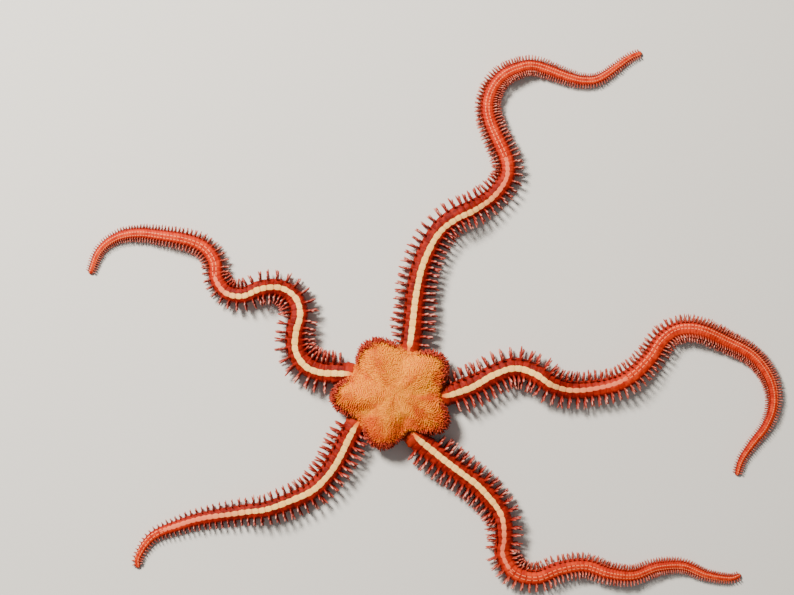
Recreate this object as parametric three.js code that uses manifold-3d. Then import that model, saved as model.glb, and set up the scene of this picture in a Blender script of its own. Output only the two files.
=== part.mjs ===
// A daisy brittle star at life size, lying on the sea bed with its five arms spread in slack waves.
// Seen from above: an orange disc of five swollen lobes, and between the lobes five red arms, each a row of
// plates with a fan of blunt spines on either side. Below: the arms run in under the disc to five jaws.
// Millimetres, +Z up. The routes are measured from the middle of the disc, and the finished star is then
// moved so that the origin is the middle of its outline, on the ground.
import * as THREE from 'three';
import { ConvexGeometry } from 'three/addons/geometries/ConvexGeometry.js';
import { mergeVertices } from 'three/addons/utils/BufferGeometryUtils.js';
import Module from 'manifold-3d';

const wasm = await Module();
wasm.setup();

// Driving sizes
const GAP = 0.3; // clear space between pieces that touch
const ARM_WIDTH = 3.8; // across the plates, without the spines, where the arm leaves the disc
const ARM_HEIGHT = 0.8; // of the arm's width
const DISC_HEIGHT = 6.2;
const NOTCH_WAIST = 4.0; // height of the disc's widest line over an arm
const LOBE_WAIST = 2.4; // and between two arms
const DISC_CLEARANCE = 0.45; // of the soft underside above the ground
const MOUTH_RADIUS = 4.2;
const MOUTH_DEPTH = 2.0;
const JAW_HEIGHT = 1.7;

// Each arm's route runs from the mouth out to the tip, as [x, y] points of a smooth curve. root is where it
// comes out from under the disc, spinesFrom is where its spines are clear of the disc's lobes, on the right
// and left as seen along the arm, cuts are where its lengths part, and rises are the stretches that arch off
// the ground, as [middle, half length, height]; all of these are distances along the route.
const ARMS = [
  {
    name: 'arm_north',
    root: 3.6,
    spinesFrom: { right: 5.3, left: 5.3 },
    cuts: [22.5, 41.0, 56.5, 73.0],
    rises: [[31.5, 7, 0.9], [64, 6, 0.5]],
    route: [
      [1.3, 4.3], [2.8, 9.0], [3.7, 18.4], [4.9, 23.6], [7.5, 28.8], [10.4, 31.5], [14.1, 33.3], [17.3, 35.3],
      [19.6, 38.0], [20.2, 40.3], [19.7, 42.8], [17.2, 48.4], [16.6, 51.7], [17.4, 54.7], [19.3, 57.1],
      [22.1, 58.5], [25.3, 58.9], [31.2, 56.9], [34.3, 56.3], [37.2, 56.9], [42.0, 60.3], [44.5, 61.4],
    ],
  },
  {
    name: 'arm_west',
    root: 3.9,
    spinesFrom: { right: 5.6, left: 8.2 },
    cuts: [16.0, 26.5, 39.5, 46.0, 61.0],
    rises: [[21, 4.5, 0.6], [33, 6, 1.1], [53.5, 6, 0.4]],
    route: [
      [-4.1, 1.9], [-7.6, 3.4], [-10.6, 3.6], [-13.5, 3.9], [-16.2, 5.2], [-17.9, 7.8], [-18.0, 11.2],
      [-17.4, 14.4], [-18.3, 17.2], [-20.8, 18.9], [-24.1, 18.8], [-27.4, 17.6], [-30.4, 18.2], [-32.2, 20.6],
      [-32.6, 23.6], [-34.3, 26.1], [-37.3, 27.5], [-41.7, 28.3], [-46.4, 28.8], [-50.4, 28.0], [-53.5, 25.5],
      [-55.2, 21.4],
    ],
  },
  {
    name: 'arm_southwest',
    root: 4.1,
    spinesFrom: { right: 5.8, left: 6.5 },
    cuts: [18.0, 36.5],
    rises: [[27, 7, 0.8]],
    route: [
      [-3.6, -2.7], [-6.8, -5.2], [-10.0, -11.0], [-12.6, -15.1], [-16.2, -18.3], [-22.8, -20.8],
      [-27.1, -21.4], [-34.6, -22.6], [-39.1, -23.9], [-43.8, -25.9], [-46.4, -29.5], [-46.5, -31.7],
    ],
  },
  {
    name: 'arm_southeast',
    root: 3.7,
    spinesFrom: { right: 5.4, left: 8.0 },
    cuts: [21.5, 34.5, 52.0],
    rises: [[28, 5, 0.6], [55.5, 6, 0.5]],
    route: [
      [1.8, -4.1], [3.2, -7.6], [7.6, -11.3], [12.4, -14.8], [15.3, -17.1], [18.9, -21.6], [19.6, -25.9],
      [19.4, -29.0], [21.4, -32.2], [25.3, -33.2], [29.6, -31.7], [34.1, -31.1], [38.4, -32.4],
      [42.9, -32.8], [47.2, -31.4], [51.8, -31.2], [55.9, -32.8], [60.2, -33.5], [62.4, -32.9],
    ],
  },
  {
    name: 'arm_east',
    root: 3.8,
    spinesFrom: { right: 5.5, left: 6.4 },
    cuts: [18.0, 30.0, 50.5, 63.5, 76.5],
    rises: [[24, 5, 0.9], [40, 8, 0.8], [57, 5.5, 0.7]],
    route: [
      [4.5, -0.2], [8.3, -0.3], [10.3, 0.0], [14.5, 1.7], [20.7, 4.5], [24.8, 3.7], [28.2, 1.5], [32.4, 0.5],
      [38.6, 1.3], [42.4, 3.1], [45.8, 6.3], [48.0, 9.5], [50.8, 11.4], [54.6, 11.4], [59.4, 9.4],
      [64.2, 6.8], [67.3, 2.8], [68.2, -1.6], [67.0, -5.7], [64.3, -9.3], [62.4, -12.2], [61.6, -15.0],
    ],
  },
];

// The disc's outline, anticlockwise: a notch over each arm and a lobe between two arms, as [degrees, radius]
const NOTCHES = [[71, 7.9], [153, 8.5], [216, 8.2], [291, 7.1], [358, 7.9]];
const LOBES = [[118, 10.6], [186, 11.6], [253, 10.2], [327, 11.0], [395, 10.9]];

// Materials
const armRed = new THREE.MeshStandardMaterial({ color: 0xa8190f, roughness: 0.5, flatShading: true });
const discOrange = new THREE.MeshStandardMaterial({ color: 0xe28a35, roughness: 0.75, flatShading: true });
const jawPink = new THREE.MeshStandardMaterial({ color: 0xd98d6e, roughness: 0.55, flatShading: true });

// Solids
function solidOf(geometry) {
  const bare = geometry.clone();
  bare.deleteAttribute('normal');
  bare.deleteAttribute('uv');
  const merged = mergeVertices(bare, 1e-4);
  const corners = merged.index.array;
  const faces = [];
  for (let i = 0; i < corners.length; i += 3) {
    const [a, b, c] = corners.slice(i, i + 3);
    if (a !== b && b !== c && c !== a) faces.push(a, b, c);
  }
  return new wasm.Manifold(new wasm.Mesh({
    numProp: 3,
    vertProperties: merged.attributes.position.array,
    triVerts: new Uint32Array(faces),
  }));
}

// Joining can seal a hollow or leave a loose scrap, so only the largest closed surface is kept.
function largestBody(solid) {
  return solid.decompose().reduce((best, body) => (body.volume() > best.volume() ? body : best));
}

function meshOf(name, solid, material) {
  const { vertProperties, triVerts } = largestBody(solid).getMesh();
  const geometry = new THREE.BufferGeometry();
  geometry.setAttribute('position', new THREE.BufferAttribute(vertProperties, 3));
  geometry.setIndex(new THREE.BufferAttribute(triVerts, 1));
  geometry.computeVertexNormals();
  const mesh = new THREE.Mesh(geometry, material);
  mesh.name = name;
  return mesh;
}

function reshape(geometry, place) {
  const position = geometry.attributes.position;
  const point = new THREE.Vector3();
  for (let i = 0; i < position.count; i += 1) {
    place(point.fromBufferAttribute(position, i));
    position.setXYZ(i, point.x, point.y, point.z);
  }
  return geometry;
}

// The arm's route and how it narrows
const INNER_WIDTH = 0.68; // of ARM_WIDTH, at the mouth
const TIP_WIDTH = 0.17; // of ARM_WIDTH
const TAPER = 0.6;

function measure(arm) {
  const points = arm.route.map(([x, y]) => new THREE.Vector3(x, y, 0));
  arm.curve = new THREE.CatmullRomCurve3(points, false, 'catmullrom', 0.5);
  arm.curve.arcLengthDivisions = 600;
  arm.length = arm.curve.getLength();
}

function widthAt(arm, s) {
  if (s < arm.root) return ARM_WIDTH * THREE.MathUtils.lerp(INNER_WIDTH, 1, Math.max(s, 0) / arm.root);
  const left = Math.max(1 - (s - arm.root) / (arm.length - arm.root), 0);
  return ARM_WIDTH * (TIP_WIDTH + (1 - TIP_WIDTH) * left ** TAPER);
}

function riseAt(arm, s) {
  return arm.rises.reduce((most, [middle, half, height]) => {
    const away = Math.min(Math.abs(s - middle) / half, 1);
    return Math.max(most, height * Math.cos((away * Math.PI) / 2) ** 2);
  }, 0);
}

// A place beside, above or below the arm's middle line: right is across the arm, seen along it, up is
// height over its underside
function frameAt(arm, s) {
  const u = THREE.MathUtils.clamp(s / arm.length, 0, 1);
  const along = arm.curve.getTangentAt(u);
  const middle = arm.curve.getPointAt(u).addScaledVector(along, s - u * arm.length);
  middle.z = riseAt(arm, s);
  return { along, middle, right: new THREE.Vector3(along.y, -along.x, 0) };
}

// The arm's section, clockwise from the top as seen along the arm: [share of half the width, share of height]
const SECTION = [[0, 1], [0.66, 0.88], [1, 0.5], [0.62, 0], [-0.62, 0], [-1, 0.5], [-0.66, 0.88]];

// The fans of spines stand at stations along the arm, one for every two or three of the real arm's joints.
const PITCH = 0.8; // of the arm's width, between stations
const LEAST_PITCH = 2.25;
const FIRST_STATION = 1.9; // beyond the arm's root
const LAST_STATION = 1.6; // short of the arm's tip
const SHARP_TURN = 0.5; // radians between two stations, over which a ring is added half way
const RING_ROOM = 0.3; // least distance of a station's ring from the end of a length of arm

function stationsOf(arm) {
  const stations = [];
  let s = arm.root + FIRST_STATION;
  while (s < arm.length - LAST_STATION) {
    stations.push(s);
    s += Math.max(PITCH * widthAt(arm, s), LEAST_PITCH);
  }
  return stations;
}

function ringsBetween(arm, from, to) {
  const inside = arm.stations.filter((s) => s > from + RING_ROOM && s < to - RING_ROOM);
  const rings = [from];
  for (const s of [...inside, to]) {
    const last = rings[rings.length - 1];
    const turn = frameAt(arm, last).along.angleTo(frameAt(arm, s).along);
    if (turn > SHARP_TURN) rings.push((last + s) / 2);
    rings.push(s);
  }
  return rings;
}

// One length of arm, bent from a closed cylinder. grow widens it on every side, and opens it downwards,
// for the channel that it needs through the disc.
function armBody(arm, from, to, grow = 0) {
  const rings = ringsBetween(arm, from, to);
  const frames = rings.map((s) => frameAt(arm, s));
  const sides = SECTION.length;
  const cylinder = new THREE.CylinderGeometry(1, 1, 1, sides, rings.length - 1);
  return solidOf(reshape(cylinder, (p) => {
    const ring = Math.round((p.y + 0.5) * (rings.length - 1));
    const width = widthAt(arm, rings[ring]);
    const height = width * ARM_HEIGHT;
    const onAxis = Math.hypot(p.x, p.z) < 0.5;
    const corner = Math.round((Math.atan2(p.x, p.z) / (2 * Math.PI)) * sides + sides) % sides;
    const [across, up] = onAxis ? [0, 0.5] : SECTION[corner];
    const { middle, right } = frames[ring];
    p.copy(middle).addScaledVector(right, across * (width / 2) + Math.sign(across) * grow);
    p.z += up === 0 ? -grow : up * (height + grow);
  }));
}

// Spines: three-cornered pegs that taper to a blunt edge, rooted in the arm's side plates. Each station has
// an upper one and, half a pitch further on, a lower one, on both sides.
const ROWS = [
  { up: 0.62, tilt: 34, shift: 0 },
  { up: 0.4, tilt: -4, shift: 0.5 },
];
const SPINE_LENGTH = 0.56; // of the arm's width, outside the arm
const LEAST_SPINE = 0.6;
const SPINE_ROOT = 0.125; // of the arm's width: half a spine's width at its root, inside the arm
const LEAST_ROOT = 0.4;
const ROOT_BELOW = 0.6; // of that half width: the root's two lower corners below its middle
const SPINE_TIP = 0.45; // of the root's width
const SPINE_OUT = 0.46; // of the arm's width, from its middle line to where a spine comes out
const SUNK = 0.22; // of the arm's width, inside the arm
const END_ROOM = 0.12; // between a spine and the end of a length of arm
const LEAN = 12; // degrees towards the arm's tip
const WANDER = 5; // degrees either way, for tilt and lean
const UNEVEN = 0.1; // share of the length, either way
const GROUND_CLEARANCE = 0.06;

// A fixed run of numbers from -1 to 1, so that the same star comes out each time
let seed = 20117;
function either() {
  seed = (seed * 16807) % 2147483647;
  return (2 * seed) / 2147483647 - 1;
}

function spine(arm, s, side, row) {
  const width = widthAt(arm, s);
  const { along, middle, right } = frameAt(arm, s);
  const root = Math.max(SPINE_ROOT * width, LEAST_ROOT);
  const tip = root * SPINE_TIP;
  const reach = Math.max(SPINE_LENGTH * width, LEAST_SPINE) * (1 + UNEVEN * either());
  const exitHeight = Math.max(row.up * width * ARM_HEIGHT, root + GROUND_CLEARANCE);
  const lowest = (tip + GROUND_CLEARANCE - exitHeight) / reach;
  const rise = Math.max(Math.sin(THREE.MathUtils.degToRad(row.tilt + WANDER * either())), lowest);
  const lean = Math.sin(THREE.MathUtils.degToRad(LEAN + WANDER * either()));
  const level = Math.sqrt(1 - rise * rise);
  const direction = right.clone().multiplyScalar(side * Math.sqrt(1 - lean * lean) * level)
    .addScaledVector(along, lean * level);
  direction.z = rise;
  const sunk = SUNK * width;
  const start = middle.clone().addScaledVector(right, side * SPINE_OUT * width)
    .addScaledVector(direction, -sunk);
  start.z += exitHeight;
  const flat = new THREE.Vector3(0, 0, 1).cross(direction).normalize();
  const top = direction.clone().cross(flat);
  const corner = (out, across, up) => start.clone()
    .addScaledVector(direction, out).addScaledVector(flat, across).addScaledVector(top, up);
  const end = sunk + reach;
  const below = -ROOT_BELOW * root;
  return solidOf(new ConvexGeometry([
    corner(0, 0, root), corner(0, root, below), corner(0, -root, below),
    corner(end, tip, 0), corner(end, -tip, 0),
  ]));
}

function armLength(arm, number, from, to) {
  let body = armBody(arm, from, to);
  for (const station of arm.stations) {
    const pitch = Math.max(PITCH * widthAt(arm, station), LEAST_PITCH);
    for (const row of ROWS) {
      const s = station + row.shift * pitch;
      const clear = Math.max(SPINE_ROOT * widthAt(arm, s), LEAST_ROOT) + END_ROOM;
      if (s < from + clear || s > Math.min(to, arm.length - LAST_STATION / 2) - clear) continue;
      if (s > arm.spinesFrom.right) body = body.add(spine(arm, s, 1, row));
      if (s > arm.spinesFrom.left) body = body.add(spine(arm, s, -1, row));
    }
  }
  return meshOf(`${arm.name}_${number}`, body, armRed);
}

function buildArm(arm) {
  measure(arm);
  arm.stations = stationsOf(arm);
  const ends = [0, ...arm.cuts, arm.length];
  return arm.cuts.concat(arm.length).map((to, i) => {
    const from = ends[i] + (i ? GAP / 2 : 0);
    return armLength(arm, i + 1, from, to - (to === arm.length ? 0 : GAP / 2));
  });
}

// The disc
const DISC_SIDES = 50;
const DISC_ROWS = 10;
const GROOVE = 0.4; // depth of the shallow valley in the disc over each arm
const SPREAD = 0.8; // power of the distance from the middle; under 1 fills the disc out to its margin
const CROWN = 0.75; // power of the height above the widest line; under 1 keeps the back from coming to a peak
const BELLY = 0.5; // the same for the underside, which is flatter

// How far round from a notch to the next lobe an angle is, and which they are
function lobeShare(degrees) {
  const marks = NOTCHES.flatMap((notch, i) => [notch, LOBES[i]]);
  const around = marks.concat([[marks[0][0] + 360, marks[0][1]]]);
  const angle = degrees < marks[0][0] ? degrees + 360 : degrees;
  const next = around.findIndex(([at], i) => i > 0 && angle <= at);
  const [[from, inner], [to, outer]] = [around[next - 1], around[next]];
  const blend = (1 - Math.cos((Math.PI * (angle - from)) / (to - from))) / 2;
  const lobe = next % 2 === 1 ? blend : 1 - blend;
  return { radius: THREE.MathUtils.lerp(inner, outer, blend), lobe };
}

function discBody() {
  const ball = new THREE.SphereGeometry(1, DISC_SIDES, DISC_ROWS);
  return solidOf(reshape(ball, (p) => {
    const angle = Math.atan2(-p.z, p.x);
    const degrees = THREE.MathUtils.euclideanModulo(THREE.MathUtils.radToDeg(angle), 360);
    const { radius, lobe } = lobeShare(degrees);
    const out = Math.hypot(p.x, p.z) ** SPREAD;
    const valley = GROOVE * (1 - lobe) * Math.sin(Math.PI * Math.min(out, 1));
    const waist = THREE.MathUtils.lerp(NOTCH_WAIST, LOBE_WAIST, lobe);
    const up = p.y > 0
      ? (DISC_HEIGHT - waist) * p.y ** CROWN - valley
      : -(waist - DISC_CLEARANCE) * (-p.y) ** BELLY;
    p.set(out * radius * Math.cos(angle), out * radius * Math.sin(angle), waist + up);
  }));
}

// Between the arms, behind each jaw, a smooth oral shield stands down from the soft underside to the ground.
const SHIELD_RADIUS = 1.25; // at the ground
const SHIELD_FLARE = 0.2; // wider at its root
const SHIELD_ROOT = 1.4; // height of the root, inside the disc
const SHIELD_OUT = 6.3; // from the middle of the mouth
const SHIELD_LONG = 1.15; // along its ray
const SHIELD_BROAD = 0.9; // across it

function shields() {
  return LOBES.map(([degrees]) => {
    const angle = THREE.MathUtils.degToRad(degrees);
    const plate = new THREE.CylinderGeometry(SHIELD_RADIUS + SHIELD_FLARE, SHIELD_RADIUS, SHIELD_ROOT, 8)
      .rotateX(Math.PI / 2)
      .scale(SHIELD_LONG, SHIELD_BROAD, 1)
      .translate(SHIELD_OUT, 0, SHIELD_ROOT / 2)
      .rotateZ(angle);
    return solidOf(plate);
  });
}

// The channel that each arm lies in runs from the mouth to clear of the disc.
const CHANNEL_START = -0.6; // along the arm's route
const CHANNEL_END = 6; // beyond the arm's root

function buildDisc() {
  const mouth = new THREE.CylinderGeometry(MOUTH_RADIUS + GAP / 2, MOUTH_RADIUS + GAP / 2, 2 * MOUTH_DEPTH, 20)
    .rotateX(Math.PI / 2);
  let disc = shields().reduce((whole, shield) => whole.add(shield), discBody());
  disc = disc.subtract(solidOf(mouth));
  for (const arm of ARMS) disc = disc.subtract(armBody(arm, CHANNEL_START, arm.root + CHANNEL_END, GAP));
  return meshOf('disc', disc, discOrange);
}

// The jaws: five wedges round a five-rayed mouth, each with a tooth at its point and papillae down its sides
const MOUTH_SLIT = 0.45; // half the width of the slit that runs out towards each arm
const JAW_POINT = 0.75; // distance from the middle of the mouth to the jaw's point
const POINT_WIDTH = 0.3;
const PAPILLAE = [1.5, 2.35, 3.2]; // distances from the middle of the mouth, down each side of a jaw
const PAPILLA_RADIUS = 0.28;
const PAPILLA_UP = 0.3; // of the jaw's height
const PAPILLA_SUNK = 0.05; // of its middle, inside the jaw's side
const TOOTH_LENGTH = 0.75;
const TOOTH_RADIUS = 0.36;
const TOOTH_UP = 0.45; // of the jaw's height

function buildJaw(i) {
  const before = THREE.MathUtils.degToRad(NOTCHES[i][0]);
  const after = THREE.MathUtils.degToRad((NOTCHES[i + 1] ?? [NOTCHES[0][0] + 360])[0]);
  const half = (after - before) / 2;
  const reach = MOUTH_RADIUS - GAP / 2;
  const edge = half - Math.asin(MOUTH_SLIT / reach);
  const wedge = new THREE.Shape();
  wedge.moveTo(JAW_POINT, -POINT_WIDTH / 2);
  wedge.lineTo(reach * Math.cos(edge), -reach * Math.sin(edge));
  wedge.absarc(0, 0, reach, -edge, edge, false);
  wedge.lineTo(JAW_POINT, POINT_WIDTH / 2);
  const middle = (before + after) / 2;
  const place = (geometry) => solidOf(geometry.rotateZ(middle));
  let jaw = place(new THREE.ExtrudeGeometry(wedge, { depth: JAW_HEIGHT, bevelEnabled: false, curveSegments: 4 }));
  const tooth = new THREE.ConeGeometry(TOOTH_RADIUS, TOOTH_LENGTH, 4).rotateZ(Math.PI / 2);
  jaw = jaw.add(place(tooth.translate(JAW_POINT, 0, JAW_HEIGHT * TOOTH_UP)));
  const slope = Math.atan2(reach * Math.sin(edge) - POINT_WIDTH / 2, reach * Math.cos(edge) - JAW_POINT);
  for (const out of PAPILLAE) {
    for (const side of [-1, 1]) {
      const papilla = new THREE.SphereGeometry(PAPILLA_RADIUS, 5, 3);
      const away = POINT_WIDTH / 2 + (out - JAW_POINT) * Math.tan(slope) - PAPILLA_SUNK;
      jaw = jaw.add(place(papilla.translate(out, side * away, JAW_HEIGHT * PAPILLA_UP)));
    }
  }
  return meshOf(`jaw_${i + 1}`, jaw, jawPink);
}

const star = new THREE.Group();
const arms = ARMS.map(buildArm);
const body = new THREE.Group();
body.add(buildDisc(), ...NOTCHES.map((notch, i) => buildJaw(i)), ...arms.flat());
const outline = new THREE.Box3().setFromObject(body);
const centre = outline.getCenter(new THREE.Vector3());
body.position.set(-centre.x, -centre.y, 0);
star.add(body);

export default star;
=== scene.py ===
import math
import random
import bmesh
import bpy
import numpy as np
from mathutils import Matrix, Vector, noise


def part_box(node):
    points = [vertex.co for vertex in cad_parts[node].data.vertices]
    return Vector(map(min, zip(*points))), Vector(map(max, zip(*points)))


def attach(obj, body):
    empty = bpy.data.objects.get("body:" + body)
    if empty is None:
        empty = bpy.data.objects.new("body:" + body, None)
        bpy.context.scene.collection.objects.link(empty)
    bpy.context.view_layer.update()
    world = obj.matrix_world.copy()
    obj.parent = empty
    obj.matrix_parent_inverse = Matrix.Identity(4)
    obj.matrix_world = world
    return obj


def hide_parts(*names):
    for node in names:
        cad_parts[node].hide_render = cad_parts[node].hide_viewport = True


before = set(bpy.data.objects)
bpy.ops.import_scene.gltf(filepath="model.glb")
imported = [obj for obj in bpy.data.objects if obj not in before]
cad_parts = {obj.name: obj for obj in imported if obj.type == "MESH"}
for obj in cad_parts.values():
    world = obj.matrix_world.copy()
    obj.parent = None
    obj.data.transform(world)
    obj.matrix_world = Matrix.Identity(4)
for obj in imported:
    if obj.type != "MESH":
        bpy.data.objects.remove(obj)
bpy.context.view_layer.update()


# The arms. Each is a chain of jointed limy plates under a thin red skin: plates down the back that
# carry the pale band, side plates that bulge and carry the spines, and flat plates along the belly.
# One closed skin stands for all the lengths of an arm, with each joint of the chain as a groove.
MM = 0.001
ARM_WIDTH = 3.95  # mm across the plates, where the arm leaves the disc
ARM_HEIGHT = 0.78  # of the width
ROOT_SWELL = 0.14  # of the height, where the arm comes out from under the disc
SWELL_ENDS, SWELL_FULL = 4.5, 1.0  # mm past the arm's root
INNER_WIDTH = 0.68  # of ARM_WIDTH, at the mouth
TIP_WIDTH = 0.17  # of ARM_WIDTH
TAPER = 0.6  # less than 1 keeps the arm broad for longer
ROUND_TIP = 0.35  # mm over which each end of an arm rounds off
SAMPLES = 4000  # along each route
TANGENT = 0.05  # mm to each side, over which the arm's direction is taken
MOUTH_FROM_WEST = 11.495  # mm from the disc's west edge to the middle of the mouth
MOUTH_FROM_SOUTH = 9.824  # mm from its south edge

# For each arm: the number of its lengths in the solids, where it comes out from under the disc,
# where its spines start on the right and left, the stretch over which its pale band gives way to
# salmon, the arches that lift it off the ground (middle, half length, height), how far its twist
# carries the band to the right, and its route from the mouth to the tip, from the middle of the
# mouth. All but the first are in mm, and what lies along an arm is measured along its route.
ARMS = {
    "arm_north": dict(
        lengths=5, root=3.6, spines_from=(4.6, 4.6), fade=(34.0, 46.0),
        rises=[(31.5, 7, 0.9), (64, 6, 0.5)],
        band=[(6, -0.2), (12, 0), (16, 0.18), (24, 0.22), (29, 0.5), (33, 0.5), (38, 0.2),
              (44, -0.1)],
        route=[(1.3, 4.3), (2.8, 9.0), (3.7, 18.4), (4.9, 23.6), (7.5, 28.8), (10.4, 31.5),
               (14.1, 33.3), (17.3, 35.3), (19.6, 38.0), (20.2, 40.3), (19.7, 42.8), (17.2, 48.4),
               (16.6, 51.7), (17.4, 54.7), (19.3, 57.1), (22.1, 58.5), (25.3, 58.9), (31.2, 56.9),
               (34.3, 56.3), (37.2, 56.9), (42.0, 60.3), (44.5, 61.4)]),
    "arm_west": dict(
        lengths=6, root=3.9, spines_from=(4.9, 7.4), fade=(37.0, 42.5),
        rises=[(21, 4.5, 0.6), (33, 6, 1.1), (53.5, 6, 0.4)],
        band=[(7, 0), (12, -0.27), (16, -0.08), (21, 0.33), (25, 0.27), (29, 0.05), (39, -0.25),
              (46, -0.1)],
        route=[(-4.1, 1.9), (-7.6, 3.4), (-10.6, 3.6), (-13.5, 3.9), (-16.2, 5.2), (-17.9, 7.8),
               (-18.0, 11.2), (-17.4, 14.4), (-18.3, 17.2), (-20.8, 18.9), (-24.1, 18.8),
               (-27.4, 17.6), (-30.4, 18.2), (-32.2, 20.6), (-32.6, 23.6), (-34.3, 26.1),
               (-37.3, 27.5), (-41.7, 28.3), (-46.4, 28.8), (-50.4, 28.0), (-53.5, 25.5),
               (-55.2, 21.4)]),
    "arm_southwest": dict(
        lengths=3, root=4.1, spines_from=(5.1, 5.8), fade=(30.0, 48.0),
        rises=[(27, 7, 0.8)],
        band=[(8, -0.1), (12, -0.28), (18, -0.05), (22, 0.2), (28, 0.1), (34, 0), (39, 0.13)],
        route=[(-3.6, -2.7), (-6.8, -5.2), (-10.0, -11.0), (-12.6, -15.1), (-16.2, -18.3),
               (-22.8, -20.8), (-27.1, -21.4), (-34.6, -22.6), (-39.1, -23.9), (-43.8, -25.9),
               (-46.4, -29.5), (-46.5, -31.7)]),
    "arm_southeast": dict(
        lengths=4, root=3.7, spines_from=(4.7, 7.2), fade=(23.0, 36.0),
        rises=[(28, 5, 0.6), (55.5, 6, 0.5)],
        band=[(7, -0.27), (14, -0.07), (22, 0), (32, 0.15)],
        route=[(1.8, -4.1), (3.2, -7.6), (7.6, -11.3), (12.4, -14.8), (15.3, -17.1), (18.9, -21.6),
               (19.6, -25.9), (19.4, -29.0), (21.4, -32.2), (25.3, -33.2), (29.6, -31.7),
               (34.1, -31.1), (38.4, -32.4), (42.9, -32.8), (47.2, -31.4), (51.8, -31.2),
               (55.9, -32.8), (60.2, -33.5), (62.4, -32.9)]),
    "arm_east": dict(
        lengths=6, root=3.8, spines_from=(4.8, 5.7), fade=(25.0, 40.0),
        rises=[(24, 5, 0.9), (40, 8, 0.8), (57, 5.5, 0.7)],
        band=[(6, 0.1), (9, 0.28), (13, -0.08), (18, 0.12), (26, 0.08), (32, -0.05), (37, -0.22),
              (46, -0.35)],
        route=[(4.5, -0.2), (8.3, -0.3), (10.3, 0.0), (14.5, 1.7), (20.7, 4.5), (24.8, 3.7),
               (28.2, 1.5), (32.4, 0.5), (38.6, 1.3), (42.4, 3.1), (45.8, 6.3), (48.0, 9.5),
               (50.8, 11.4), (54.6, 11.4), (59.4, 9.4), (64.2, 6.8), (67.3, 2.8), (68.2, -1.6),
               (67.0, -5.7), (64.3, -9.3), (62.4, -12.2), (61.6, -15.0)]),
}

disc_low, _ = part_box("disc")
mouth = Vector((disc_low[0] + MOUTH_FROM_WEST * MM, disc_low[1] + MOUTH_FROM_SOUTH * MM, 0))


def smooth(x, low, high):
    t = min(max((x - low) / (high - low), 0), 1)
    return t * t * (3 - 2 * t)


def follow(arm):
    """Samples the arm's smooth route closely enough to read a place at any distance along it."""
    points = [np.array(p, float) for p in arm["route"]]
    points = [2 * points[0] - points[1]] + points + [2 * points[-1] - points[-2]]
    pieces = len(points) - 3
    track = []
    for t in np.linspace(0, pieces, SAMPLES):
        i = min(int(t), pieces - 1)
        w = t - i
        before, here, there, after = points[i:i + 4]
        leave, reach = (there - before) / 2, (after - here) / 2
        track.append(here + leave * w + (3 * (there - here) - 2 * leave - reach) * w ** 2
                     + (2 * (here - there) + leave + reach) * w ** 3)
    arm["track"] = np.array(track)
    steps = np.linalg.norm(np.diff(arm["track"], axis=0), axis=1)
    arm["distance"] = np.concatenate([[0], np.cumsum(steps)])
    arm["length"] = float(arm["distance"][-1])


def width_at(arm, s):
    if s < arm["root"]:
        return ARM_WIDTH * (INNER_WIDTH + (1 - INNER_WIDTH) * max(s, 0) / arm["root"])
    left = max(1 - (s - arm["root"]) / (arm["length"] - arm["root"]), 0)
    return ARM_WIDTH * (TIP_WIDTH + (1 - TIP_WIDTH) * left ** TAPER)


def height_share(arm, s):
    swell = smooth(s, arm["root"] + SWELL_ENDS, arm["root"] + SWELL_FULL)
    return ARM_HEIGHT * (1 + ROOT_SWELL * swell)


def rise_at(arm, s):
    return max(height * math.cos(min(abs(s - middle) / half, 1) * math.pi / 2) ** 2
               for middle, half, height in arm["rises"])


def place_at(arm, s):
    return np.array([np.interp(s, arm["distance"], arm["track"][:, k]) for k in (0, 1)])


def frame_at(arm, s):
    """The middle of the belly, the direction along the arm and the one to its right, at s mm."""
    ahead, behind = min(s + TANGENT, arm["length"]), max(s - TANGENT, 0)
    along = Vector((*(place_at(arm, ahead) - place_at(arm, behind)), 0)).normalized()
    middle = mouth + Vector((*place_at(arm, s), rise_at(arm, s))) * MM
    return middle, along, Vector((along.y, -along.x, 0))


INNER_PLATE = 1.28  # mm from joint to joint near the disc
OUTER_PLATE = 0.44  # near the tip
PLATES_SHORTEN = (24, 66)  # mm along the arm
PLATE_LUCK = (0.94, 1.06)


def joints_of(arm, draw):
    joints = [0.0]
    while joints[-1] < arm["length"] - OUTER_PLATE:
        shorter = smooth(joints[-1], *PLATES_SHORTEN)
        plate = INNER_PLATE + (OUTER_PLATE - INNER_PLATE) * shorter
        joints.append(joints[-1] + plate * draw.uniform(*PLATE_LUCK))
    return [j * arm["length"] / joints[-1] for j in joints]


# From one joint to the next, the rings of the skin: close where the groove is, few on short plates
RING_STEPS = [0.0, 0.06, 0.14, 0.28, 0.46, 0.62, 0.74, 0.86, 0.94]
SHORT_RING_STEPS = [0.0, 0.12, 0.35, 0.62, 0.88]
SHORT_PLATE = 0.8  # mm
AROUND = 44  # corners
SIDES_FULL, BACK_FULL = 0.82, 0.8  # less than 1 makes the section squarer
JOINT_GROOVE = 0.05  # of the radius
GROOVE_ON_BACK, GROOVE_AT_SIDES = 0.35, 0.25  # of that depth, and how much more at the sides
BELLY_GROOVE = 0.08  # of the half height
JOINT_WIDE = 0.08  # of a plate's length
BACK_PLATE = 0.03  # of the radius, by which the middle of a back plate stands up
PLATE_SEAM = 0.035  # of the radius, of the furrow between the back and the side plates
SEAM_AT, SEAM_WIDE = 0.5, 0.08  # of the half width
SPINE_RIDGE = 0.09  # of the radius, of the ridge that the spines stand on
RIDGE_AT, RIDGE_WIDE = 0.68, 0.15  # of a plate's length
FLAT_BELLY = 1.12  # more than 1 cuts the belly off flat
COMES_OUT = (-0.4, 2.2)  # mm past the root, over which the arm loses the disc's orange
WELD = 1e-6  # m


def bump(x, middle, wide):
    return math.exp(-((x - middle) / wide) ** 2)


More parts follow.
